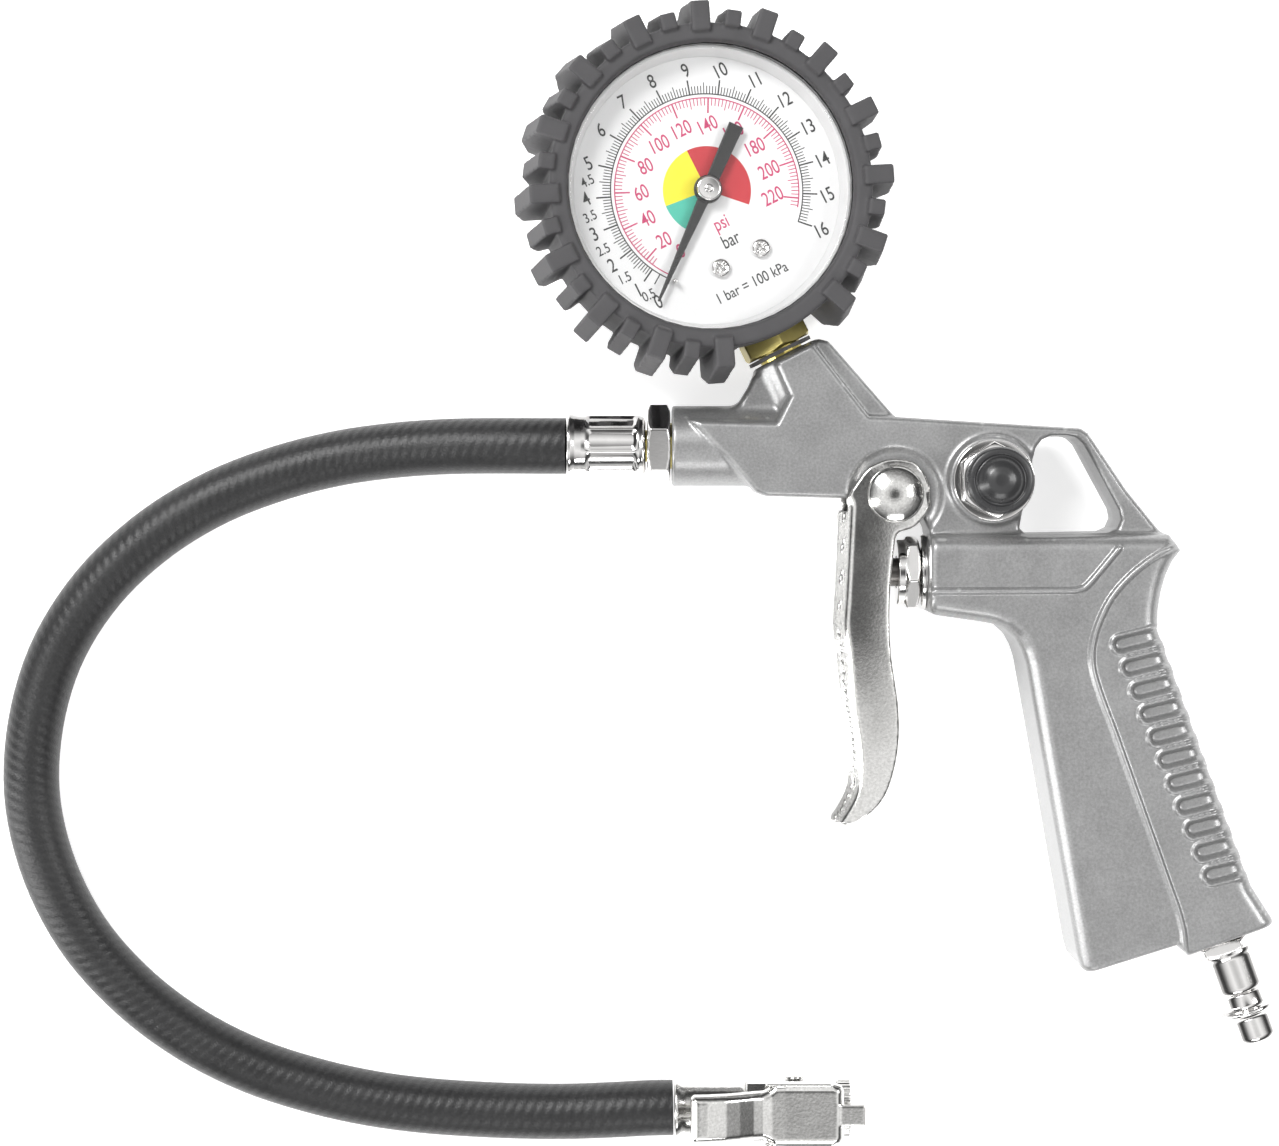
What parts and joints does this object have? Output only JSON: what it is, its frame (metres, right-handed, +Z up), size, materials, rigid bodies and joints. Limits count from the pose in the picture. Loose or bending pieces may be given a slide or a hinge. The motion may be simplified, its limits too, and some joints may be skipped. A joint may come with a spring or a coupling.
{
  "type": "tyre inflator pistol",
  "caption": "Pistol-grip air-line tyre inflator with trigger valve, bleed button, dial gauge in a tyre-shaped rubber boot, short rubber hose and clip-on chuck.",
  "frame": {"origin": "on the bench plane, under the middle of the box round pistol, gauge and inlet plug, without hose and chuck", "axes": "lying on its side: +Z up out of the gauge side, +Y towards the gauge, +X towards the grip side of the pistol"},
  "size_m": [0.2763, 0.2463, 0.0407],
  "materials": {
    "casting": "die casting in satin silver-grey metallic paint",
    "chrome": "bright plated, slightly grainy",
    "dark_steel": "turned and darkened",
    "steel": "plain",
    "brass": "turned, dull",
    "rubber": "matt moulded",
    "hose_rubber": "satin, faint woven impression",
    "black_plastic": "glossy",
    "pointer_black": "matt",
    "lens": "clear",
    "dial": "white, printed scales"
  },
  "bodies": {
    "gun": {"gun_body": "casting", "trigger_rivet": "chrome", "gland_washer": "chrome", "gland_nut": "chrome", "valve_seat": "brass", "valve_spring": "steel", "bleed_washer": "chrome", "bleed_nut": "chrome", "bleed_spring": "steel", "gauge_boot": "rubber", "gauge_case": "steel", "lens_ring": "black_plastic", "gauge_lens": "lens", "gauge_dial": "dial", "pointer_stop_pin": "steel", "dial_screw_1": "chrome", "dial_screw_2": "chrome", "gauge_socket": "brass", "stem_seal": "rubber", "bourdon_tube": "brass", "tube_tip": "brass", "movement_back_plate": "brass", "movement_front_plate": "brass", "movement_pillar_1": "brass", "movement_pillar_2": "brass", "movement_pillar_3": "brass", "sector_pin": "steel", "hairspring": "steel", "inlet_nipple": "chrome", "nipple_washer": "chrome", "inlet_filter": "brass", "grip_plug": "casting", "hose_nut": "chrome", "hose_tail": "brass", "hose_ferrule": "chrome", "hose": "hose_rubber", "chuck_ferrule": "chrome", "chuck_tail": "brass", "chuck_body": "chrome", "chuck_end_cap": "chrome", "chuck_seal": "rubber", "core_pin": "brass", "chuck_pin": "chrome", "chuck_spring": "steel"},
    "trigger": {"trigger_lever": "chrome"},
    "valve": {"valve_plunger": "dark_steel", "plunger_o_ring": "rubber", "valve_poppet": "brass", "poppet_seal": "rubber"},
    "bleed": {"bleed_button": "black_plastic", "bleed_stem": "steel", "bleed_seal": "rubber"},
    "sector": {"sector_gear": "brass"},
    "pointer": {"gauge_pointer": "pointer_black", "pointer_hub": "chrome", "pinion_arbor": "steel"},
    "link": {"drive_link": "steel"},
    "chuck_clip": {"chuck_lever": "chrome"}
  },
  "joints": [
    {"name": "trigger_pull", "type": "hinge", "parent": "gun", "child": "trigger", "pos_m": [-0.00137, 0.00732, 0.014], "axis": [0, 0, 1], "range_deg": [0, 12], "stiffness_Nm_per_rad": 1.5, "deforming": ["valve_spring"]},
    {"name": "valve_slide", "type": "slide", "parent": "gun", "child": "valve", "axis": [1, 0, 0], "range_m": [0, 0.0037]},
    {"name": "bleed_press", "type": "slide", "parent": "gun", "child": "bleed", "axis": [0, 0, -1], "range_m": [0, 0.0025], "stiffness_N_per_m": 1200, "deforming": ["bleed_spring"]},
    {"name": "sector_swing", "type": "hinge", "parent": "gun", "child": "sector", "pos_m": [-0.05235, 0.06906, 0.01515], "axis": [0.1013, 0.0505, 0.9936], "range_deg": [0, 44.03], "stiffness_Nm_per_rad": 0.002, "deforming": ["hairspring"]},
    {"name": "pointer_turn", "type": "hinge", "parent": "gun", "child": "pointer", "pos_m": [-0.04212, 0.07113, 0.014], "axis": [0.1013, 0.0505, 0.9936], "range_deg": [-264.2, 0]},
    {"name": "link_swing", "type": "hinge", "parent": "sector", "child": "link", "pos_m": [-0.05519, 0.0638, 0.01571], "axis": [0.1013, 0.0505, 0.9936], "range_deg": [-44.1, 0]},
    {"name": "chuck_clip_press", "type": "hinge", "parent": "gun", "child": "chuck_clip", "pos_m": [-0.02197, -0.12668, 0.01085], "axis": [0, -1, 0], "range_deg": [0, 10], "stiffness_Nm_per_rad": 0.4, "deforming": ["chuck_spring"]}
  ],
  "couplings": [
    {"joint": "valve_slide", "follows": "trigger_pull", "m_per_rad": 0.0172},
    {"joint": "pointer_turn", "follows": "sector_swing", "ratio": -6},
    {"joint": "link_swing", "follows": "sector_swing", "ratio": -1}
  ]
}
